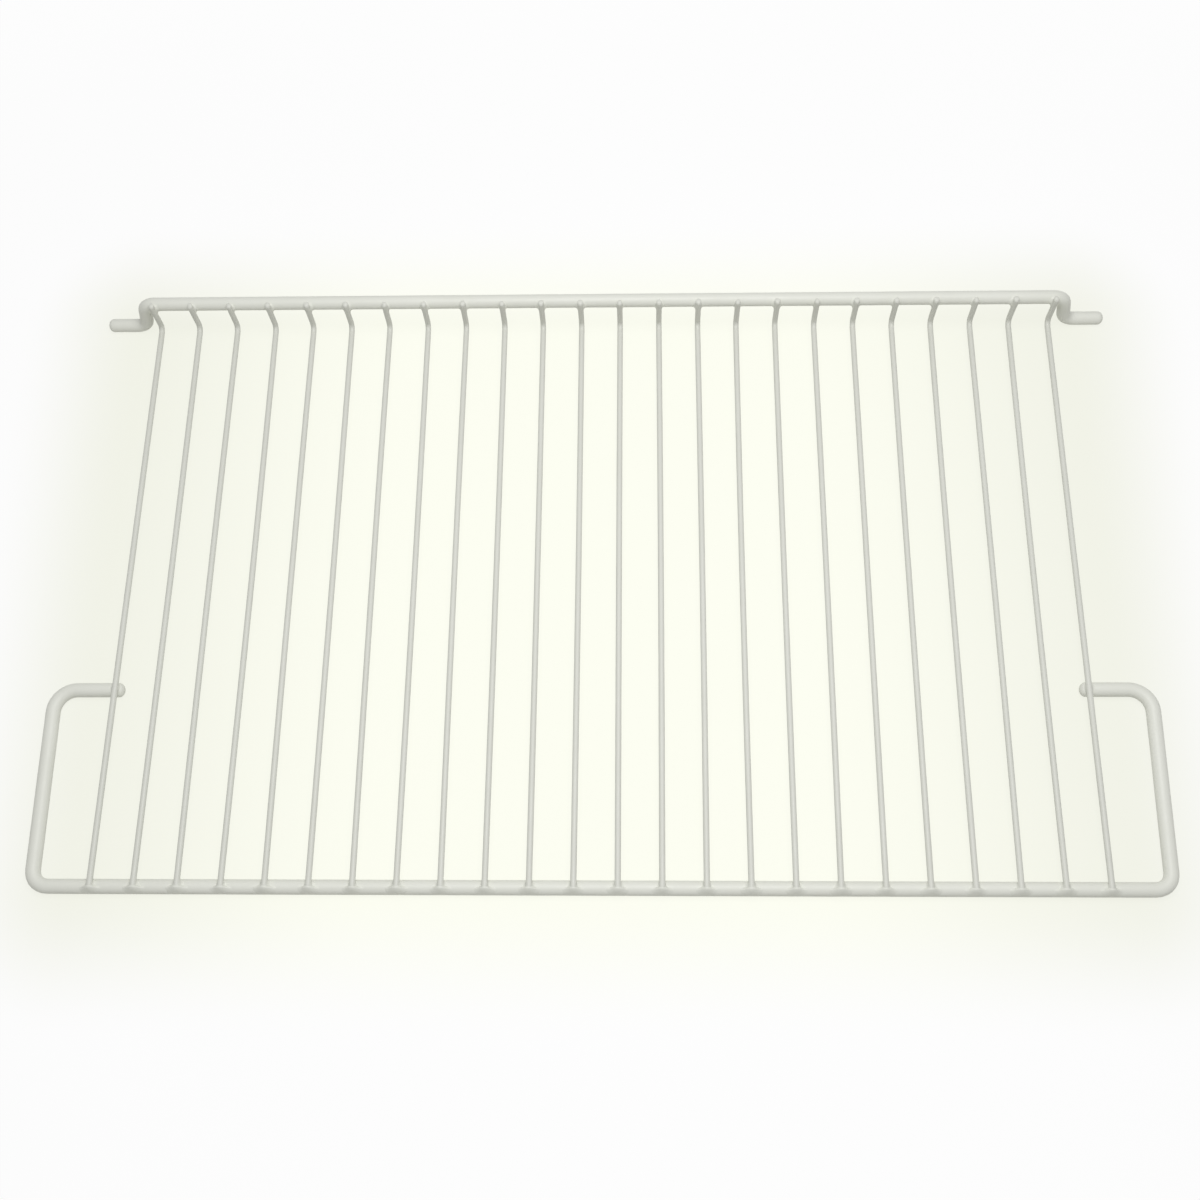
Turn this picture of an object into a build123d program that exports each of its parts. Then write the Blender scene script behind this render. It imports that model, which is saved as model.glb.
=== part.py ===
from build123d import *
import os
from math import radians, tan

# Refrigerator wire shelf: two thick bent wires carry a deck of thin wires, all welded and coated white.
# X is the width, Y runs from front to rear and Z is up. The origin is on the ground, under the shelf's middle.
# All sizes are in millimetres, over the coat.

# Overall sizes
front_width = 439.0              # between the two front corners, centre to centre
overall_depth = 258.0            # from the front of the front run to the back of the rear rail

# Wire
frame_wire_diameter = 5.8        # 5 mm steel and its coat, for the front frame and the rear rail
deck_wire_diameter = 2.4         # 2 mm steel and its coat, for the deck
weld_sink = 0.4                  # how deep a deck wire is pressed into the wire that carries it
end_rounding = 0.7               # share of a wire's radius that the coat rounds off at a cut end

# Front frame
front_corner_radius = 6.5        # bend radii are to the wire's centreline
loop_corner_radius = 9.0
loop_depth = 80.0                # front run to loop arm, centre to centre
leg_splay = 1.1                  # degrees by which each leg leans outwards towards the rear
side_window = 24.0               # front corner to outermost deck wire, centre to centre
arm_overhang = 2.9               # arm's end past the outermost deck wire's centre

# Deck
deck_wire_count = 24
deck_bend_radius = 3.0
front_tip_reach = 1.6            # deck wire's front end past the front run's centre
rear_tip_rise = 1.5              # deck wire's rear end above the top of the rail

# Rear rail
rail_rise = 17.1                 # rail above its pegs, centre to centre
rail_overhang = 4.6              # outermost deck wire to the corner where the rail turns down
rail_corner_radius = 5.5
drop_splay = 12.0                # degrees by which each drop leans outwards
peg_corner_radius = 5.5
peg_reach = 17.3                 # foot of the drop to the peg's end

# Places worked out from the sizes above
frame_radius = frame_wire_diameter / 2
deck_radius = deck_wire_diameter / 2
front_corner_x = front_width / 2
loop_corner_x = front_corner_x + loop_depth * tan(radians(leg_splay))
front_y = frame_radius - overall_depth / 2
arm_y = front_y + loop_depth
rail_y = overall_depth / 2 - frame_radius
rail_z = frame_radius + rail_rise
outer_deck_x = front_corner_x - side_window
deck_pitch = 2 * outer_deck_x / (deck_wire_count - 1)
weld_spacing = frame_radius + deck_radius - weld_sink
deck_z = frame_radius + weld_spacing
upstand_y = rail_y - weld_spacing


def wire(path, radius):
    """A round wire along a path, with its two flat ends rounded by the coat."""
    section = Plane(origin=path @ 0, z_dir=path % 0) * Circle(radius)
    solid = sweep(section, path=path)
    cut_ends = solid.faces().filter_by(GeomType.PLANE)
    return fillet(cut_ends.edges(), end_rounding * radius)


def front_frame_wire():
    """The front run, the two side loops and the arms that turn inwards under the deck."""
    arm_end_x = outer_deck_x - arm_overhang
    points = [
        (-arm_end_x, arm_y, frame_radius),
        (-loop_corner_x, arm_y, frame_radius),
        (-front_corner_x, front_y, frame_radius),
        (front_corner_x, front_y, frame_radius),
        (loop_corner_x, arm_y, frame_radius),
        (arm_end_x, arm_y, frame_radius),
    ]
    radii = [loop_corner_radius, front_corner_radius, front_corner_radius, loop_corner_radius]
    return wire(FilletPolyline(*points, radius=radii), frame_radius)


def rear_rail_wire():
    """The raised rail, with a splayed drop and an outward peg at each end."""
    corner_x = outer_deck_x + rail_overhang
    foot_x = corner_x + rail_rise * tan(radians(drop_splay))
    peg_end_x = foot_x + peg_reach
    points = [
        (-peg_end_x, rail_y, frame_radius),
        (-foot_x, rail_y, frame_radius),
        (-corner_x, rail_y, rail_z),
        (corner_x, rail_y, rail_z),
        (foot_x, rail_y, frame_radius),
        (peg_end_x, rail_y, frame_radius),
    ]
    radii = [peg_corner_radius, rail_corner_radius, rail_corner_radius, peg_corner_radius]
    return wire(FilletPolyline(*points, radius=radii), frame_radius)


def deck_wire(x, carriers):
    """One deck wire, bent up at the rear, with a saddle where each carrier is pressed into it."""
    points = [
        (x, front_y - front_tip_reach, deck_z),
        (x, upstand_y, deck_z),
        (x, upstand_y, rail_z + frame_radius + rear_tip_rise),
    ]
    return wire(FilletPolyline(*points, radius=deck_bend_radius), deck_radius) - carriers


def save(solid, name):
    """Write one wire as its own file."""
    solid.label = name
    export_step(solid, f"parts/{name}.step")


os.makedirs("parts", exist_ok=True)
front_frame = front_frame_wire()
rear_rail = rear_rail_wire()
save(front_frame, "front_frame_wire")
save(rear_rail, "rear_rail_wire")
for number in range(deck_wire_count):
    deck_x = deck_pitch * number - outer_deck_x
    save(deck_wire(deck_x, [front_frame, rear_rail]), f"deck_wire_{number + 1:02d}")
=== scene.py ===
import math
import random

import bpy
import numpy as np
from bpy.props import FloatProperty, FloatVectorProperty, IntProperty, PointerProperty
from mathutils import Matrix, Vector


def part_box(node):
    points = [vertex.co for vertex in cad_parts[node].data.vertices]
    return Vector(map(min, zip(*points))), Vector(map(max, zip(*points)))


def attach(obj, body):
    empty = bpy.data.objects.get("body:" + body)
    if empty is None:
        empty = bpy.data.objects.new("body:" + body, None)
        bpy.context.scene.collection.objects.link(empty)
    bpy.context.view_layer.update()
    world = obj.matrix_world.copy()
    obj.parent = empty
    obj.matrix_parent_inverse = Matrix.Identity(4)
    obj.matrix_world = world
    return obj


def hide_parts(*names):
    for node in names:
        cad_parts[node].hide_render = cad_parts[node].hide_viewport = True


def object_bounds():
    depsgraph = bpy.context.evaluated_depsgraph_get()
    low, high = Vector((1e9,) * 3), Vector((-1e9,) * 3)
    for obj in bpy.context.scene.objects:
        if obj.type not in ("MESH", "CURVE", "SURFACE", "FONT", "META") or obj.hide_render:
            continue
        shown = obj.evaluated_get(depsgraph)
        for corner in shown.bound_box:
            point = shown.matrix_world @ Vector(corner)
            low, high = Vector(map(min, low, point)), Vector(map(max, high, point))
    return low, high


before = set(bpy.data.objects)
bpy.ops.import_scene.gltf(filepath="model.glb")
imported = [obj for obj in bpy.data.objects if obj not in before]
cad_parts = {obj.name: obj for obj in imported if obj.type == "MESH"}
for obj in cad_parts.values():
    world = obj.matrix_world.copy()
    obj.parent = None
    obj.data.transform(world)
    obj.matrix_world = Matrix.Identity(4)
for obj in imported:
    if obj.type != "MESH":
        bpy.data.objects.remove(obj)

# Looks of a refrigerator wire shelf: a white dipped coat on each wire, fillets at the welds, and a stage.
# Everything is in metres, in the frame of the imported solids: X is the width, -Y the front and Z is up.

bl_info = {
    "name": "Coated wire shelf",
    "version": (1, 0, 0),
    "blender": (4, 5, 0),
    "location": "3D View > Sidebar > Wire Shelf",
    "description": "Dresses a refrigerator wire shelf with its white coat and weld fillets",
    "category": "Object",
}

CAD_LOW, CAD_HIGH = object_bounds()
MM = 0.001
BODY = "root"
FRONT_NODE = "front_frame_wire"
RAIL_NODE = "rear_rail_wire"
DECK_NODES = sorted(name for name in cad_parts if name.startswith("deck_wire_"))
COAT_NAME = "dipped_polyethylene_white"
THIN_PART = "thin_wire_part"

# Share of a fillet piece's radius, at its edge, over which the wider fillet at a tip dies out
TIP_FADE = 0.3

# Coat patterns: size of its thick and thin places, of its satin and dull patches, and of its orange peel
CLOUD_SIZE = 28 * MM
PATCH_SIZE = 6 * MM
SATIN_ROUGHNESS = 0.42
DULL_ROUGHNESS = 0.54
PEEL_SIZE = 1.8 * MM
PEEL_DEPTH = 0.05 * MM
PEEL_STRENGTH = 0.35

# Seeds, which keep every run the same
BOW_SEED = 24
FRONT_SEED = 1
RAIL_SEED = 2
FIRST_DECK_SEED = 10
FRONT_WELD_SEED = 3
REAR_WELD_SEED = 5
ARM_WELD_SEED = 7

# Stage: the cream tone starts to fade just inside the shelf's outline, and shadows fade further out
FLOOR_HALF = 4.0
CREAM_INSET_X = 20 * MM
CREAM_INSET_Y = 5 * MM
CREAM_FADE = 60 * MM
MIDDLE_HALF_WIDTH = 80 * MM
SHADOW_END = 360 * MM
LAMP_SIZE = 0.35
LAMP_PLACE = (0.04, 0.0, 0.62)
SENSOR_WIDTH = 36.0
LENS_LENGTH = 45.535
CAMERA_PLACE = (19.156 * MM, -237.465 * MM, 585.605 * MM)
CAMERA_TURN = (math.radians(21.578), math.radians(1.627), math.radians(0.500))


def linear(hex_code):
    """An sRGB hex colour as linear red, green and blue."""
    shares = [int(hex_code[start:start + 2], 16) / 255 for start in (0, 2, 4)]
    return tuple(s / 12.92 if s <= 0.04045 else ((s + 0.055) / 1.055) ** 2.4 for s in shares)


def add_node(tree, kind, settings=None, inputs=None):
    """Add a node, set its properties, and fill each input with a value or a link."""
    node = tree.nodes.new(kind)
    for key, value in (settings or {}).items():
        setattr(node, key, value)
    for key, value in (inputs or {}).items():
        if isinstance(value, bpy.types.NodeSocket):
            tree.links.new(value, node.inputs[key])
        else:
            node.inputs[key].default_value = value
    return node


def distance(label, text, millimetres):
    """A length that a user may change."""
    return FloatProperty(name=label, description=text, default=millimetres * MM, min=0.0, precision=4,
                         unit="LENGTH", subtype="DISTANCE")


# Settings

class ShelfWireSettings(bpy.types.PropertyGroup):
    front_bend: distance("Front bend",
                         "Radius of the front frame's two front corners, to the wire's middle", 6.5)
    loop_bend: distance("Loop bend", "Radius of each side loop's rear corner, to the wire's middle", 9.0)
    side_window: distance("Side window", "Outermost deck wire to the front corner beside it", 24.0)
    leg_splay: FloatProperty(name="Leg splay", description="Angle by which each leg leans outwards",
                             default=math.radians(1.1), unit="ROTATION", subtype="ANGLE")
    arm_overhang: distance("Arm overhang", "Length of a loop arm past the outermost deck wire's middle", 2.9)
    rail_bend: distance("Rail bend", "Radius of the rear rail's four corners, to the wire's middle", 5.5)
    rail_overhang: distance("Rail overhang",
                            "Outermost deck wire to the corner where the rail turns down", 4.6)
    drop_splay: FloatProperty(name="Drop splay", description="Angle by which each drop leans outwards",
                              default=math.radians(12.0), unit="ROTATION", subtype="ANGLE")
    deck_bend: distance("Deck bend", "Radius of a deck wire's upward bend, to the wire's middle", 3.0)
    deck_bow: distance("Deck bow", "Most that a deck wire bows sideways between its welds", 0.35)
    end_rounding: FloatProperty(name="End rounding",
                                description="Coat's dome on a cut end, as a share of the radius",
                                default=0.8, min=0.1, max=1.0, subtype="FACTOR")
    unevenness: distance("Coat unevenness", "Most that the coat swells or thins", 0.045)
    uneven_length: distance("Unevenness length", "Length over which the coat swells and thins", 9.0)
    ring_spacing: distance("Ring spacing", "Length of one band of faces along a wire", 1.5)
    thick_sides: IntProperty(name="Thick wire sides",
                             description="Faces round a thick wire", default=32, min=8)
    thin_sides: IntProperty(name="Thin wire sides", description="Faces round a thin wire", default=20, min=8)


class ShelfWeldSettings(bpy.types.PropertyGroup):
    blend: distance("Fillet blend", "Reach of the coat's fillet where two wires cross", 1.8)
    tip_blend: distance("Tip blend", "Further reach of the fillet in front of a thin wire's tip", 3.2)
    tip_sink: distance("Tip sink", "Length of a thin wire's front end that its fillet swallows", 0.6)
    blend_spread: distance("Blend spread", "Most by which a fillet is larger or smaller than that", 0.3)
    reach: distance("Fillet piece", "Radius of the piece that holds one fillet", 6.0)
    depth: distance("Fillet depth", "Depth of that piece below the thin wire's middle", 5.0)
    inset: distance("Fillet inset", "Depth of a fillet under the wires' own coat, where it ends", 0.05)
    cell: distance("Fillet detail", "Size of a fillet's faces", 0.37)


class ShelfCoatSettings(bpy.types.PropertyGroup):
    light: FloatVectorProperty(name="Coat, thick", description="Coat colour where it lies thick",
                               default=linear("EDEEE6"), size=3, subtype="COLOR")
    deep: FloatVectorProperty(name="Coat, thin", description="Coat colour where it lies thin",
                              default=linear("E6E7DD"), size=3, subtype="COLOR")
    # Painted shade: the thin wires' coat colour is scaled down by this share.
    deck_painted_shade: FloatProperty(name="Deck tone",
                              description="Share of that colour on the thin wires, where steel dulls it",
                              default=0.89, min=0.0, max=1.0, subtype="FACTOR")


class ShelfStageSettings(bpy.types.PropertyGroup):
    floor: FloatVectorProperty(name="Floor", description="Floor colour far from the shelf",
                               default=linear("FFFFFF"), size=3, subtype="COLOR")
    floor_near: FloatVectorProperty(name="Floor under shelf",
                                    description="Floor colour under the shelf's middle",
                                    default=linear("FEFFF3"), size=3, subtype="COLOR")
    # Painted shade on the floor under and beside the shelf's two ends.
    floor_side_painted_shade: FloatVectorProperty(name="Floor at sides",
                                    description="Floor colour under and beside the shelf's ends",
                                    default=linear("F3F4E9"), size=3, subtype="COLOR")
    bounce: FloatVectorProperty(name="Floor bounce",
                                description="Floor colour in the light that it throws back",
                                default=linear("D4D4CE"), size=3, subtype="COLOR")
    sky: FloatProperty(name="Sky",
                       description="Strength of the even light from all round", default=0.38, min=0.0)
    lamp: FloatProperty(name="Lamp", description="Power of the soft lamp over the shelf", default=2.25,
                        min=0.0, unit="POWER")
    shadow: FloatProperty(name="Shadow", description="Share of the floor's look that takes shadows",
                          default=0.10, min=0.0, max=1.0, subtype="FACTOR")


# Material

def coat_material(coat):
    """The shelf's finish, made once for all its pieces."""
    # Steel wire dipped hot into polyethylene powder, which melts and flows out to a satin, faintly cream white.
    # It keeps a soft orange peel, lies a little thicker and whiter in places, and has no grain or sharp edge.
    made = bpy.data.materials.get(COAT_NAME)
    if made:
        return made
    made = bpy.data.materials.new(COAT_NAME)
    made.use_nodes = True
    tree = made.node_tree
    tree.nodes.clear()
    place = add_node(tree, "ShaderNodeTexCoord").outputs["Object"]
    # Thick and thin places in the coat.
    cloud = add_node(tree, "ShaderNodeTexNoise", None,
                     {"Vector": place, "Scale": 1 / CLOUD_SIZE, "Detail": 3.0})
    tone = add_node(tree, "ShaderNodeMix", {"data_type": "RGBA"},
                    {0: cloud.outputs["Fac"], 6: (*coat.deep, 1.0), 7: (*coat.light, 1.0)})
    # The thin wires' coat is darkened, as painted shade on these narrow round wires. A fillet runs from one tone to
    # the other.
    part = add_node(tree, "ShaderNodeAttribute", {"attribute_name": THIN_PART}).outputs["Fac"]
    share = add_node(tree, "ShaderNodeMix", {"data_type": "FLOAT"}, {0: part, 2: 1.0, 3: coat.deck_painted_shade})
    shaded_deck_tone = add_node(tree, "ShaderNodeVectorMath", {"operation": "SCALE"},
                      {0: tone.outputs[2], "Scale": share.outputs[0]})
    # Handling leaves satin and duller patches.
    patch = add_node(tree, "ShaderNodeTexNoise", None,
                     {"Vector": place, "Scale": 1 / PATCH_SIZE, "Detail": 2.0})
    gloss = add_node(tree, "ShaderNodeMapRange", None,
                     {"Value": patch.outputs["Fac"], "From Min": 0.3, "From Max": 0.7,
                      "To Min": SATIN_ROUGHNESS, "To Max": DULL_ROUGHNESS})
    # Orange peel is about 1 mm in the real coat, and is drawn at 1.8 mm so that it shows.
    peel = add_node(tree, "ShaderNodeTexNoise", None,
                    {"Vector": place, "Scale": 1 / PEEL_SIZE, "Detail": 1.5})
    bump = add_node(tree, "ShaderNodeBump", None,
                    {"Height": peel.outputs["Fac"], "Strength": PEEL_STRENGTH, "Distance": PEEL_DEPTH})
    shader = add_node(tree, "ShaderNodeBsdfPrincipled", None,
                      {"Base Color": shaded_deck_tone.outputs[0], "Roughness": gloss.outputs["Result"], "IOR": 1.5,
                       "Normal": bump.outputs["Normal"]})
    add_node(tree, "ShaderNodeOutputMaterial", None, {"Surface": shader.outputs["BSDF"]})
    return made


# Node tree that lays the coat along a wire

def coat_tree():
    """A tube along a path with rounded bends, domed ends and a slightly uneven surface."""
    made = bpy.data.node_groups.get("Coated wire")
    if made:
        return made
    tree = bpy.data.node_groups.new("Coated wire", "GeometryNodeTree")
    sockets = [("Path", "NodeSocketGeometry"), ("Radius", "NodeSocketFloat"), ("Sides", "NodeSocketInt"),
               ("Ring spacing", "NodeSocketFloat"), ("Dome length", "NodeSocketFloat"), ("Bow", "NodeSocketFloat"),
               ("Unevenness", "NodeSocketFloat"), ("Unevenness length", "NodeSocketFloat"),
               ("Seed", "NodeSocketFloat"), ("Thin part", "NodeSocketFloat"), ("Coat", "NodeSocketMaterial")]
    for label, kind in sockets:
        tree.interface.new_socket(label, in_out="INPUT", socket_type=kind)
    tree.interface.new_socket("Wire", in_out="OUTPUT", socket_type="NodeSocketGeometry")
    given = add_node(tree, "NodeGroupInput").outputs
    dome_rings = 7
    arc_steps = 12

    # The path's corners become arcs of the radius that each corner carries.
    line = add_node(tree, "GeometryNodeMeshToCurve", None, {"Mesh": given["Path"]})
    bend = add_node(tree, "GeometryNodeInputNamedAttribute", {"data_type": "FLOAT"}, {"Name": "bend_radius"})
    bent = add_node(tree, "GeometryNodeFilletCurve", {"mode": "POLY"},
                    {"Curve": line.outputs[0], "Count": arc_steps, "Radius": bend.outputs[0], "Limit Radius": True})
    length = add_node(tree, "GeometryNodeCurveLength", None, {"Curve": bent.outputs[0]}).outputs[0]
    bands = add_node(tree, "ShaderNodeMath", {"operation": "DIVIDE"}, {0: length, 1: given["Ring spacing"]})
    count = add_node(tree, "ShaderNodeMath", {"operation": "ADD"},
                     {0: bands.outputs[0], 1: 2.0 * dome_rings + 1})
    rings = add_node(tree, "GeometryNodeResampleCurve", {"mode": "COUNT"},
                     {"Curve": bent.outputs[0], "Count": count.outputs[0]})

    # Each ring counts how far it is from the nearer end. The first few rings draw a dome, the rest are even.
    index = add_node(tree, "GeometryNodeSplineParameter").outputs["Index"]
    points = add_node(tree, "GeometryNodeSplineLength").outputs["Point Count"]
    last = add_node(tree, "ShaderNodeMath", {"operation": "SUBTRACT"}, {0: points, 1: 1.0}).outputs[0]
    to_far_end = add_node(tree, "ShaderNodeMath", {"operation": "SUBTRACT"}, {0: last, 1: index}).outputs[0]
    nearer = add_node(tree, "ShaderNodeMath", {"operation": "MINIMUM"}, {0: index, 1: to_far_end}).outputs[0]
    share = add_node(tree, "ShaderNodeMath", {"operation": "DIVIDE", "use_clamp": True},
                     {0: nearer, 1: float(dome_rings)})
    turn = add_node(tree, "ShaderNodeMath", {"operation": "MULTIPLY"}, {0: share.outputs[0], 1: math.pi / 2})
    fall = add_node(tree, "ShaderNodeMath", {"operation": "COSINE"}, {0: turn.outputs[0]})
    rise = add_node(tree, "ShaderNodeMath", {"operation": "SUBTRACT"}, {0: 1.0, 1: fall.outputs[0]})
    dome = add_node(tree, "ShaderNodeMath", {"operation": "MULTIPLY"},
                    {0: rise.outputs[0], 1: given["Dome length"]})
    past = add_node(tree, "ShaderNodeMath", {"operation": "SUBTRACT"}, {0: nearer, 1: float(dome_rings)})
    plain = add_node(tree, "ShaderNodeMath", {"operation": "MAXIMUM"}, {0: past.outputs[0], 1: 0.0})
    plain_bands = add_node(tree, "ShaderNodeMath", {"operation": "SUBTRACT"}, {0: last, 1: 2.0 * dome_rings})
    plain_length = add_node(tree, "ShaderNodeMath", {"operation": "MULTIPLY_ADD"},
                            {0: given["Dome length"], 1: -2.0, 2: length})
    step = add_node(tree, "ShaderNodeMath", {"operation": "DIVIDE"},
                    {0: plain_length.outputs[0], 1: plain_bands.outputs[0]})
    near_way = add_node(tree, "ShaderNodeMath", {"operation": "MULTIPLY_ADD"},
                        {0: plain.outputs[0], 1: step.outputs[0], 2: dome.outputs[0]})
    far_way = add_node(tree, "ShaderNodeMath", {"operation": "SUBTRACT"}, {0: length, 1: near_way.outputs[0]})
    first_half = add_node(tree, "ShaderNodeMath", {"operation": "LESS_THAN"}, {0: index, 1: to_far_end})
    way = add_node(tree, "ShaderNodeMix", {"data_type": "FLOAT"},
                   {0: first_half.outputs[0], 2: far_way.outputs[0], 3: near_way.outputs[0]})
    spot = add_node(tree, "GeometryNodeSampleCurve", {"mode": "LENGTH"},
                    {"Curves": bent.outputs[0], "Length": way.outputs[0]})

    # The wire bows a little to one side between its two ends.
    along = add_node(tree, "ShaderNodeMath", {"operation": "DIVIDE"}, {0: way.outputs[0], 1: length})
    swing = add_node(tree, "ShaderNodeMath", {"operation": "MULTIPLY"}, {0: along.outputs[0], 1: math.pi})
    sway = add_node(tree, "ShaderNodeMath", {"operation": "SINE"}, {0: swing.outputs[0]})
    side = add_node(tree, "ShaderNodeMath", {"operation": "MULTIPLY"}, {0: sway.outputs[0], 1: given["Bow"]})
    offset = add_node(tree, "ShaderNodeCombineXYZ", None, {"X": side.outputs[0]})
    placed = add_node(tree, "GeometryNodeSetPosition", None,
                      {"Geometry": rings.outputs[0], "Position": spot.outputs["Position"],
                       "Offset": offset.outputs[0]})

    # A round section follows the path, and closes to one point at each end.
    widen = add_node(tree, "ShaderNodeMath", {"operation": "SINE"}, {0: turn.outputs[0]})
    size = add_node(tree, "ShaderNodeMath", {"operation": "MULTIPLY"},
                    {0: widen.outputs[0], 1: given["Radius"]})
    section = add_node(tree, "GeometryNodeCurvePrimitiveCircle", None,
                       {"Resolution": given["Sides"], "Radius": 1.0})
    tube = add_node(tree, "GeometryNodeCurveToMesh", None,
                    {"Curve": placed.outputs[0], "Profile Curve": section.outputs[0], "Scale": size.outputs[0]})
    closed = add_node(tree, "GeometryNodeMergeByDistance", None,
                      {"Geometry": tube.outputs[0], "Distance": 0.001 * MM})

    # The coat swells and thins slowly along and around the wire.
    here = add_node(tree, "GeometryNodeInputPosition").outputs[0]
    fineness = add_node(tree, "ShaderNodeMath", {"operation": "DIVIDE"},
                        {0: 1.0, 1: given["Unevenness length"]})
    swell = add_node(tree, "ShaderNodeTexNoise", {"noise_dimensions": "4D"},
                     {"Vector": here, "W": given["Seed"], "Scale": fineness.outputs[0], "Detail": 1.0})
    spread = add_node(tree, "ShaderNodeMapRange", {"clamp": False},
                      {"Value": swell.outputs["Fac"], "From Min": 0.5, "From Max": 1.0, "To Min": 0.0,
                       "To Max": given["Unevenness"]})
    outward = add_node(tree, "GeometryNodeInputNormal").outputs[0]
    push = add_node(tree, "ShaderNodeVectorMath", {"operation": "SCALE"},
                    {0: outward, "Scale": spread.outputs["Result"]})
    coated = add_node(tree, "GeometryNodeSetPosition", None,
                      {"Geometry": closed.outputs[0], "Offset": push.outputs[0]})
    marked = add_node(tree, "GeometryNodeStoreNamedAttribute", {"data_type": "FLOAT", "domain": "POINT"},
                      {"Geometry": coated.outputs[0], "Name": THIN_PART, "Value": given["Thin part"]})
    smooth = add_node(tree, "GeometryNodeSetShadeSmooth", None, {"Geometry": marked.outputs[0]})
    real = add_node(tree, "GeometryNodeRealizeInstances", None, {"Geometry": smooth.outputs[0]})
    painted = add_node(tree, "GeometryNodeSetMaterial", None,
                       {"Geometry": real.outputs[0], "Material": given["Coat"]})
    add_node(tree, "NodeGroupOutput", None, {"Wire": painted.outputs[0]})
    return tree


# Node tree that sets a fillet at each weld

def weld_tree():
    """One of three fillets, picked by a fixed seed, at each point of a row of welds."""
    made = bpy.data.node_groups.get("Fillets at welds")
    if made:
        return made
    tree = bpy.data.node_groups.new("Fillets at welds", "GeometryNodeTree")
    sockets = [("Welds", "NodeSocketGeometry"), ("Small fillet", "NodeSocketObject"),
               ("Middle fillet", "NodeSocketObject"), ("Large fillet", "NodeSocketObject"),
               ("Seed", "NodeSocketInt"), ("Coat", "NodeSocketMaterial")]
    for label, kind in sockets:
        tree.interface.new_socket(label, in_out="INPUT", socket_type=kind)
    tree.interface.new_socket("Fillets", in_out="OUTPUT", socket_type="NodeSocketGeometry")
    given = add_node(tree, "NodeGroupInput").outputs
    choice = add_node(tree, "GeometryNodeJoinGeometry")
    for label in ("Small fillet", "Middle fillet", "Large fillet"):
        shape = add_node(tree, "GeometryNodeObjectInfo", None, {"Object": given[label], "As Instance": True})
        tree.links.new(shape.outputs["Geometry"], choice.inputs[0])
    pick = add_node(tree, "FunctionNodeRandomValue", {"data_type": "INT"},
                    {4: 0, 5: 2, "Seed": given["Seed"]})
    rows = add_node(tree, "GeometryNodeInstanceOnPoints", None,
                    {"Points": given["Welds"], "Instance": choice.outputs[0], "Pick Instance": True,
                     "Instance Index": pick.outputs[2]})
    real = add_node(tree, "GeometryNodeRealizeInstances", None, {"Geometry": rows.outputs[0]})
    smooth = add_node(tree, "GeometryNodeSetShadeSmooth", None, {"Geometry": real.outputs[0]})
    painted = add_node(tree, "GeometryNodeSetMaterial", None,
                       {"Geometry": smooth.outputs[0], "Material": given["Coat"]})
    add_node(tree, "NodeGroupOutput", None, {"Fillets": painted.outputs[0]})
    return tree


# Pieces

def plain_piece(name, mesh, tree, values):
    """Run a node tree on a mesh, and keep what it makes as a plain mesh at the origin."""
    piece = bpy.data.objects.new(name, mesh)
    bpy.context.scene.collection.objects.link(piece)
    modifier = piece.modifiers.new("Nodes", "NODES")
    modifier.node_group = tree
    for item in tree.interface.items_tree:
        if item.in_out == "INPUT" and item.name in values:
            modifier[item.identifier] = values[item.name]
    ready = bpy.context.evaluated_depsgraph_get()
    made = bpy.data.meshes.new_from_object(piece.evaluated_get(ready))
    piece.modifiers.remove(modifier)
    piece.data = made
    bpy.data.meshes.remove(mesh)
    made.name = name
    if not made.polygons:
        raise RuntimeError(name + " came out empty")
    return piece


def coated_wire(context, node, corners, bends, radius, sides, bow, seed, thin_part):
    """One coated wire along its corners, in place of its solid."""
    wire = context.scene.shelf_wire
    path = bpy.data.meshes.new(node + "_path")
    path.from_pydata(corners, [(i, i + 1) for i in range(len(corners) - 1)], [])
    path.attributes.new("bend_radius", "FLOAT", "POINT").data.foreach_set("value", bends)
    values = {"Radius": radius, "Sides": sides, "Ring spacing": wire.ring_spacing,
              "Dome length": wire.end_rounding * radius, "Bow": bow, "Unevenness": wire.unevenness,
              "Unevenness length": wire.uneven_length, "Seed": float(seed), "Thin part": thin_part,
              "Coat": coat_material(context.scene.shelf_coat)}
    piece = plain_piece(node + "_coat", path, coat_tree(), values)
    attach(piece, BODY)
    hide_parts(node)


def deck_line(node):
    """A deck wire's radius, its place across the shelf, and the ends and levels of its two runs."""
    low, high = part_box(node)
    radius = (high.x - low.x) / 2
    return {"radius": radius, "x": (low.x + high.x) / 2, "front": low.y, "back": high.y - radius,
            "level": low.z + radius, "top": high.z}


def front_line():
    """The front frame's radius, level, and the lines of its front run and its arms."""
    low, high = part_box(FRONT_NODE)
    radius = (high.z - low.z) / 2
    return {"radius": radius, "level": low.z + radius, "front": low.y + radius, "arm": high.y - radius}


def rail_line():
    """The rear rail's radius, its line across the shelf, the levels of its rail and pegs, and its end."""
    low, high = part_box(RAIL_NODE)
    radius = (high.y - low.y) / 2
    return {"radius": radius, "back": (low.y + high.y) / 2, "foot": low.z + radius, "top": high.z - radius,
            "end": high.x}


class SHELF_OT_front_frame(bpy.types.Operator):
    """Lay the coat along the front frame: the front run, two legs and two arms"""
    bl_idname = "shelf.front_frame"
    bl_label = "Front Frame"

    def execute(self, context):
        wire = context.scene.shelf_wire
        line = front_line()
        outermost = deck_line(DECK_NODES[-1])["x"]
        front_corner = outermost + wire.side_window
        loop_corner = front_corner + (line["arm"] - line["front"]) * math.tan(wire.leg_splay)
        half = [(front_corner, line["front"]), (loop_corner, line["arm"]),
                (outermost - wire.arm_overhang, line["arm"])]
        across = [(-x, y) for x, y in reversed(half)] + half
        corners = [(x, y, line["level"]) for x, y in across]
        bends = [0.0, wire.loop_bend, wire.front_bend, wire.front_bend, wire.loop_bend, 0.0]
        coated_wire(context, FRONT_NODE, corners, bends, line["radius"], wire.thick_sides, 0.0, FRONT_SEED, 0.0)
        return {"FINISHED"}


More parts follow.
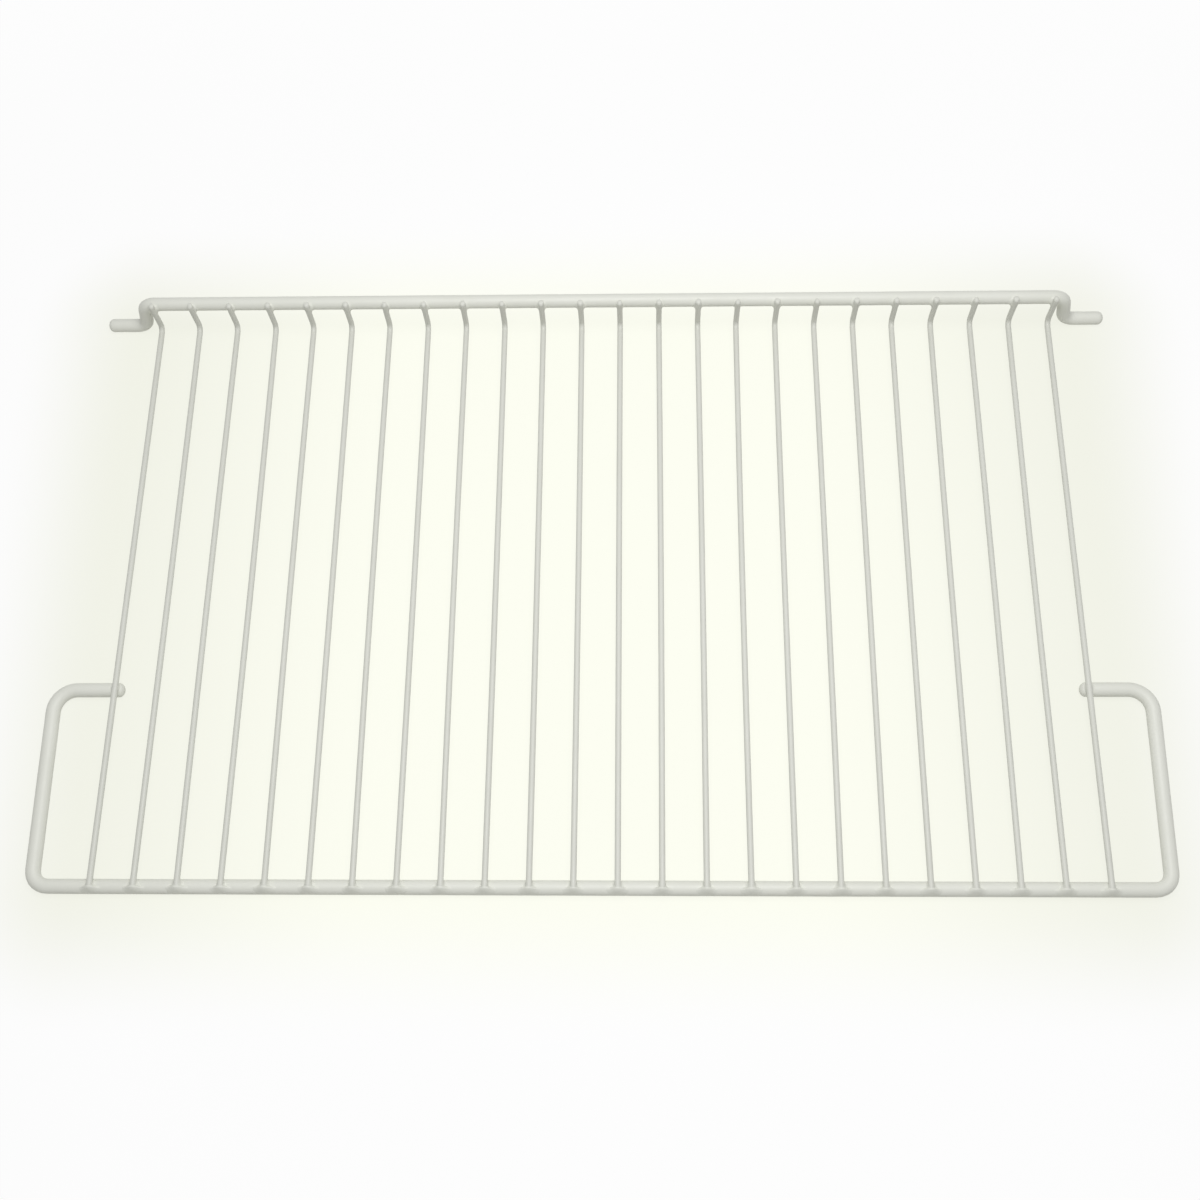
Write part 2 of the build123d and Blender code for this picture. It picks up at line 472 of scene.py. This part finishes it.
class SHELF_OT_rear_rail(bpy.types.Operator):
    """Lay the coat along the rear rail, its two drops and its two pegs"""
    bl_idname = "shelf.rear_rail"
    bl_label = "Rear Rail"

    def execute(self, context):
        wire = context.scene.shelf_wire
        line = rail_line()
        corner = deck_line(DECK_NODES[-1])["x"] + wire.rail_overhang
        foot = corner + (line["top"] - line["foot"]) * math.tan(wire.drop_splay)
        half = [(corner, line["top"]), (foot, line["foot"]), (line["end"], line["foot"])]
        across = [(-x, z) for x, z in reversed(half)] + half
        corners = [(x, line["back"], z) for x, z in across]
        bends = [0.0] + [wire.rail_bend] * 4 + [0.0]
        coated_wire(context, RAIL_NODE, corners, bends, line["radius"], wire.thick_sides, 0.0, RAIL_SEED, 0.0)
        return {"FINISHED"}


class SHELF_OT_deck_wires(bpy.types.Operator):
    """Lay the coat along each deck wire, from its front tip to the tip of its upstand"""
    bl_idname = "shelf.deck_wires"
    bl_label = "Deck Wires"

    def execute(self, context):
        wire = context.scene.shelf_wire
        chance = random.Random(BOW_SEED)
        for number, node in enumerate(DECK_NODES):
            line = deck_line(node)
            bow = chance.uniform(-wire.deck_bow, wire.deck_bow)
            # The loop arms hold the two outermost wires straight.
            if node in (DECK_NODES[0], DECK_NODES[-1]):
                bow = 0.0
            front = line["front"] + context.scene.shelf_weld.tip_sink
            corners = [(line["x"], front, line["level"]), (line["x"], line["back"], line["level"]),
                       (line["x"], line["back"], line["top"])]
            bends = [0.0, wire.deck_bend, 0.0]
            coated_wire(context, node, corners, bends, line["radius"], wire.thin_sides, bow,
                        FIRST_DECK_SEED + number, 1.0)
        return {"FINISHED"}


# Weld fillets

def rod_distance(places, start, end, radius):
    """Distance from each place to the surface of a round-ended rod, below nought inside it."""
    run = np.subtract(end, start)
    share = np.clip((places - start) @ run / (run @ run), 0.0, 1.0)
    return np.linalg.norm(places - start - share[..., None] * run, axis=-1) - radius


def smooth_step(share):
    """A rise from nought to one that starts and ends level."""
    held = np.clip(share, 0.0, 1.0)
    return held * held * (3 - 2 * held)


def fillet_blend(places, thin, thick, blend, weld):
    """Distance to two rods joined by a fillet, and the thin rod's part in it."""
    one = rod_distance(places, *thin)
    two = rod_distance(places, *thick)
    # The fillet is wider in front of the thin rod's tip, and that width dies out before the piece's edge.
    run = np.subtract(thin[1], thin[0])
    past_tip = smooth_step((thin[0] - places) @ run / np.linalg.norm(run) / thin[2])
    from_edge = smooth_step((weld.reach - np.linalg.norm(places, axis=-1)) / (TIP_FADE * weld.reach))
    spread = blend + weld.tip_blend * past_tip * from_edge
    part = np.clip(0.5 + 0.5 * (two - one) / spread, 0.0, 1.0)
    return two * (1 - part) + one * part - spread * part * (1 - part), part


def fillet_distance(places, thin, thick, blend, weld):
    """Distance to a fillet's own piece, rounded off around the weld and ending just under the coat."""
    joined, _ = fillet_blend(places, thin, thick, blend, weld)
    sunk = np.subtract(thick[0], thin[0])
    sunk[int(np.argmax(np.abs(np.subtract(thick[1], thick[0]))))] = 0.0
    sunk[int(np.argmax(np.abs(np.subtract(thin[1], thin[0]))))] = 0.0
    towards = sunk / np.linalg.norm(sunk)
    ball = np.linalg.norm(places, axis=-1) - weld.reach
    cut = places @ towards - weld.depth
    return np.maximum(np.maximum(joined + weld.inset, ball), cut)


def surface_net(field, low, cell):
    """Points and outward quads on the zero level of a field that is below nought inside."""
    inside = field < 0
    shape = np.array(field.shape) - 1
    total = np.zeros((*shape, 3))
    crossings = np.zeros(shape)
    corner_offsets = [(0, 0), (1, 0), (0, 1), (1, 1)]
    for axis in range(3):
        b, c = (axis + 1) % 3, (axis + 2) % 3
        for offset_b, offset_c in corner_offsets:
            first = [slice(None)] * 3
            first[axis] = slice(0, shape[axis])
            first[b] = slice(offset_b, offset_b + shape[b])
            first[c] = slice(offset_c, offset_c + shape[c])
            second = list(first)
            second[axis] = slice(1, shape[axis] + 1)
            near, far = field[tuple(first)], field[tuple(second)]
            crossed = (near < 0) != (far < 0)
            share = np.where(crossed, near / np.where(crossed, near - far, 1.0), 0.0)
            total[..., axis] += share
            total[..., b] += np.where(crossed, offset_b, 0.0)
            total[..., c] += np.where(crossed, offset_c, 0.0)
            crossings += crossed
    used = crossings > 0
    number = np.full(shape, -1)
    number[used] = np.arange(np.count_nonzero(used))
    points = low + cell * (np.argwhere(used) + total[used] / crossings[used][:, None])
    quads = []
    for axis in range(3):
        b, c = (axis + 1) % 3, (axis + 2) % 3
        start = np.take(inside, range(shape[axis]), axis)
        end = np.take(inside, range(1, shape[axis] + 1), axis)
        for where, order in ((start & ~end, 1), (~start & end, -1)):
            edges = np.argwhere(where)
            ring = []
            for back_b, back_c in ((1, 1), (0, 1), (0, 0), (1, 0)):
                cells = edges.copy()
                cells[:, b] -= back_b
                cells[:, c] -= back_c
                ring.append(number[tuple(cells.T)])
            quads.append(np.stack(ring[::order], axis=1))
    return points, np.concatenate(quads)


def fillet_shape(name, thin, thick, blend, weld):
    """A closed mesh of one coat fillet, with the weld's middle at the origin."""
    half = int(weld.reach / weld.cell) + 2
    steps = np.arange(-half, half + 1) * weld.cell
    places = np.stack(np.meshgrid(steps, steps, steps, indexing="ij"), axis=-1)
    field = fillet_distance(places, thin, thick, blend, weld)
    points, quads = surface_net(field, steps[0], weld.cell)
    nudge = 0.01 * MM
    for _ in range(3):
        level = fillet_distance(points, thin, thick, blend, weld)
        slope = np.stack([(fillet_distance(points + nudge * way, thin, thick, blend, weld) - level) / nudge
                          for way in np.eye(3)], axis=-1)
        points = points - slope * (level / np.maximum((slope * slope).sum(-1), 0.2))[:, None]
    mesh = bpy.data.meshes.new(name)
    mesh.from_pydata(points.tolist(), [], quads.tolist())
    # The thin wires' painted shade fades out over the fillet, so that only its edge on the thin wire is as dark as
    # that wire.
    _, part = fillet_blend(points, thin, thick, blend, weld)
    mesh.attributes.new(THIN_PART, "FLOAT", "POINT").data.foreach_set("value", smooth_step(2 * part - 1))
    shape = bpy.data.objects.new(name, mesh)
    bpy.context.scene.collection.objects.link(shape)
    return shape


def weld_row(context, name, welds, thin, thick, seed):
    """Coat fillets at a row of like welds, as one piece."""
    weld = context.scene.shelf_weld
    sizes = [("Small fillet", weld.blend - weld.blend_spread), ("Middle fillet", weld.blend),
             ("Large fillet", weld.blend + weld.blend_spread)]
    shapes = {label: fillet_shape(name + "_shape", thin, thick, blend, weld) for label, blend in sizes}
    row = bpy.data.meshes.new(name + "_places")
    row.from_pydata(welds, [], [])
    values = {**shapes, "Seed": seed, "Coat": coat_material(context.scene.shelf_coat)}
    piece = plain_piece(name, row, weld_tree(), values)
    for shape in shapes.values():
        bpy.data.meshes.remove(shape.data)
    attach(piece, BODY)


class SHELF_OT_weld_fillets(bpy.types.Operator):
    """Fill the corners at the welds, where the coat gathers between two wires"""
    bl_idname = "shelf.weld_fillets"
    bl_label = "Weld Fillets"

    def execute(self, context):
        wire = context.scene.shelf_wire
        deck = [deck_line(node) for node in DECK_NODES]
        thin = deck[0]["radius"]
        front, rail = front_line(), rail_line()
        far = 2 * context.scene.shelf_weld.reach
        drop = front["level"] - deck[0]["level"]
        tip = deck[0]["front"] + context.scene.shelf_weld.tip_sink + thin - front["front"]
        across = ((-far, 0.0, drop), (far, 0.0, drop), front["radius"])
        lengthwise = ((0.0, tip, 0.0), (0.0, far, 0.0), thin)
        places = [(line["x"], front["front"], line["level"]) for line in deck]
        weld_row(context, "front_weld_fillets", places, lengthwise, across, FRONT_WELD_SEED)
        gap = rail["back"] - deck[0]["back"]
        tip = deck[0]["top"] - thin - rail["top"]
        upright = ((0.0, 0.0, tip), (0.0, 0.0, -far), thin)
        # Next to the outermost wires the rail bends down, and the straight part that a fillet joins ends there.
        straight = wire.rail_overhang - wire.rail_bend * math.tan((math.pi / 2 - wire.drop_splay) / 2)
        for name, row, left, right in (("left_rear_weld_fillet", deck[:1], -straight, far),
                                       ("rear_weld_fillets", deck[1:-1], -far, far),
                                       ("right_rear_weld_fillet", deck[-1:], -far, straight)):
            across = ((left, gap, 0.0), (right, gap, 0.0), rail["radius"])
            places = [(line["x"], line["back"], rail["top"]) for line in row]
            weld_row(context, name, places, upright, across, REAR_WELD_SEED)
        lengthwise = ((0.0, -far, 0.0), (0.0, far, 0.0), thin)
        for name, line, outward in (("left_arm_weld_fillet", deck[0], -1),
                                    ("right_arm_weld_fillet", deck[-1], 1)):
            end = -outward * (wire.arm_overhang - front["radius"])
            across = ((end, 0.0, drop), (outward * far, 0.0, drop), front["radius"])
            places = [(line["x"], front["arm"], line["level"])]
            weld_row(context, name, places, lengthwise, across, ARM_WELD_SEED)
        return {"FINISHED"}


# Stage

def floor_material(stage):
    """A white sheet that the camera sees near white, and that still takes the shelf's shadow."""
    # Seamless studio paper: plain and dead matt. It is faintly cream under the shelf, where the shelf throws
    # light back, a little greyer under the shelf's two ends as painted shade, and white further out.
    made = bpy.data.materials.new("matt_studio_paper")
    made.use_nodes = True
    tree = made.node_tree
    tree.nodes.clear()
    place = add_node(tree, "ShaderNodeTexCoord").outputs["Object"]
    mirrored = add_node(tree, "ShaderNodeVectorMath", {"operation": "ABSOLUTE"}, {0: place})
    beyond = add_node(tree, "ShaderNodeVectorMath", {"operation": "SUBTRACT"},
                      {0: mirrored.outputs[0], 1: (CAD_HIGH.x - CREAM_INSET_X, CAD_HIGH.y - CREAM_INSET_Y, 0.0)})
    outside = add_node(tree, "ShaderNodeVectorMath", {"operation": "MAXIMUM"}, {0: beyond.outputs[0]})
    reach = add_node(tree, "ShaderNodeVectorMath", {"operation": "LENGTH"}, {0: outside.outputs[0]})
    fade = add_node(tree, "ShaderNodeMapRange", {"interpolation_type": "SMOOTHSTEP"},
                    {"Value": reach.outputs["Value"], "From Min": 0.0, "From Max": CREAM_FADE})
    across = add_node(tree, "ShaderNodeSeparateXYZ", None, {0: mirrored.outputs[0]})
    # Painted shade: the floor turns greyer towards the shelf's two ends.
    side_shade_share = add_node(tree, "ShaderNodeMapRange", {"interpolation_type": "SMOOTHSTEP"},
                     {"Value": across.outputs["X"], "From Min": MIDDLE_HALF_WIDTH, "From Max": CAD_HIGH.x})
    near = add_node(tree, "ShaderNodeMix", {"data_type": "RGBA"},
                    {0: side_shade_share.outputs["Result"], 6: (*stage.floor_near, 1.0), 7: (*stage.floor_side_painted_shade, 1.0)})
    tone = add_node(tree, "ShaderNodeMix", {"data_type": "RGBA"},
                    {0: fade.outputs["Result"], 6: near.outputs[2], 7: (*stage.floor, 1.0)})
    glow = add_node(tree, "ShaderNodeEmission", None, {"Color": tone.outputs[2], "Strength": 1.0})
    matt = add_node(tree, "ShaderNodeBsdfDiffuse", None, {"Color": tone.outputs[2]})
    bounce = add_node(tree, "ShaderNodeBsdfDiffuse", None, {"Color": (*stage.bounce, 1.0)})
    # Far from the shelf, where no shadow falls, the sheet is as white as the room behind it.
    shaded = add_node(tree, "ShaderNodeMapRange", {"interpolation_type": "SMOOTHSTEP"},
                      {"Value": reach.outputs["Value"], "From Min": CREAM_FADE, "From Max": SHADOW_END,
                       "To Min": stage.shadow, "To Max": 0.0})
    seen = add_node(tree, "ShaderNodeMixShader", None,
                    {0: shaded.outputs["Result"], 1: glow.outputs[0], 2: matt.outputs[0]})
    final = add_node(tree, "ShaderNodeMixShader", None,
                     {0: seen_share(tree), 1: bounce.outputs[0], 2: seen.outputs[0]})
    add_node(tree, "ShaderNodeOutputMaterial", None, {"Surface": final.outputs[0]})
    return made


def seen_share(tree):
    """One where the camera sees a surface, straight or in a gloss, and nought where it only gives light."""
    ray = add_node(tree, "ShaderNodeLightPath").outputs
    gloss = add_node(tree, "ShaderNodeMath", {"operation": "MAXIMUM"},
                     {0: ray["Is Glossy Ray"], 1: ray["Is Transmission Ray"]})
    return add_node(tree, "ShaderNodeMath", {"operation": "MAXIMUM"},
                    {0: ray["Is Camera Ray"], 1: gloss.outputs[0]}).outputs[0]


class SHELF_OT_stage(bpy.types.Operator):
    """Set the floor, the light and the camera"""
    bl_idname = "shelf.stage"
    bl_label = "Stage"

    def execute(self, context):
        stage = context.scene.shelf_stage
        half = FLOOR_HALF
        corners = [(-half, -half, 0.0), (half, -half, 0.0), (half, half, 0.0), (-half, half, 0.0)]
        sheet = bpy.data.meshes.new("studio_floor")
        sheet.from_pydata(corners, [], [(0, 1, 2, 3)])
        sheet.materials.append(floor_material(stage))
        floor = bpy.data.objects.new("studio_floor", sheet)
        context.scene.collection.objects.link(floor)

        world = bpy.data.worlds.new("soft_white_room")
        world.use_nodes = True
        tree = world.node_tree
        tree.nodes.clear()
        shade = add_node(tree, "ShaderNodeMix", {"data_type": "FLOAT"},
                         {0: seen_share(tree), 2: stage.sky, 3: 1.0})
        room = add_node(tree, "ShaderNodeBackground", None,
                        {"Color": (1.0, 1.0, 1.0, 1.0), "Strength": shade.outputs[0]})
        add_node(tree, "ShaderNodeOutputWorld", None, {"Surface": room.outputs[0]})
        context.scene.world = world

        # One soft lamp hangs over the shelf's middle.
        lamp = bpy.data.lights.new("soft_lamp", "AREA")
        lamp.energy = stage.lamp
        lamp.size = LAMP_SIZE
        hanger = bpy.data.objects.new("soft_lamp", lamp)
        hanger.location = LAMP_PLACE
        hanger.rotation_euler = (-hanger.location).to_track_quat("-Z", "Y").to_euler()
        context.scene.collection.objects.link(hanger)

        # The camera looks down from over the front edge, as the photograph does.
        lens = bpy.data.cameras.new("photo_view")
        lens.sensor_width = SENSOR_WIDTH
        lens.lens = LENS_LENGTH
        camera = bpy.data.objects.new("photo_view", lens)
        camera.location = CAMERA_PLACE
        camera.rotation_euler = CAMERA_TURN
        context.scene.collection.objects.link(camera)
        context.scene.camera = camera
        context.scene.view_settings.view_transform = "Standard"
        return {"FINISHED"}


class SHELF_PT_sidebar(bpy.types.Panel):
    """Sizes and finishes of the shelf, and the steps that dress it"""
    bl_idname = "SHELF_PT_sidebar"
    bl_label = "Wire Shelf"
    bl_space_type = "VIEW_3D"
    bl_region_type = "UI"
    bl_category = "Wire Shelf"

    def draw(self, context):
        for title, group in GROUPS:
            box = self.layout.box()
            box.label(text=title)
            settings = getattr(context.scene, group)
            for key in settings.__annotations__:
                box.prop(settings, key)
        for step in STEPS:
            self.layout.operator(step.bl_idname)


GROUPS = (("Wire", "shelf_wire"), ("Welds", "shelf_weld"), ("Coat", "shelf_coat"), ("Stage", "shelf_stage"))
SETTINGS = (ShelfWireSettings, ShelfWeldSettings, ShelfCoatSettings, ShelfStageSettings)
STEPS = (SHELF_OT_front_frame, SHELF_OT_rear_rail, SHELF_OT_deck_wires, SHELF_OT_weld_fillets, SHELF_OT_stage)


def register():
    for kind in (*SETTINGS, *STEPS, SHELF_PT_sidebar):
        bpy.utils.register_class(kind)
    for (_, group), kind in zip(GROUPS, SETTINGS):
        setattr(bpy.types.Scene, group, PointerProperty(type=kind))


def unregister():
    for _, group in GROUPS:
        delattr(bpy.types.Scene, group)
    for kind in reversed((*SETTINGS, *STEPS, SHELF_PT_sidebar)):
        bpy.utils.unregister_class(kind)


def main():
    register()
    bpy.ops.shelf.front_frame()
    bpy.ops.shelf.rear_rail()
    bpy.ops.shelf.deck_wires()
    bpy.ops.shelf.weld_fillets()
    bpy.ops.shelf.stage()


if __name__ == "__main__":
    main()
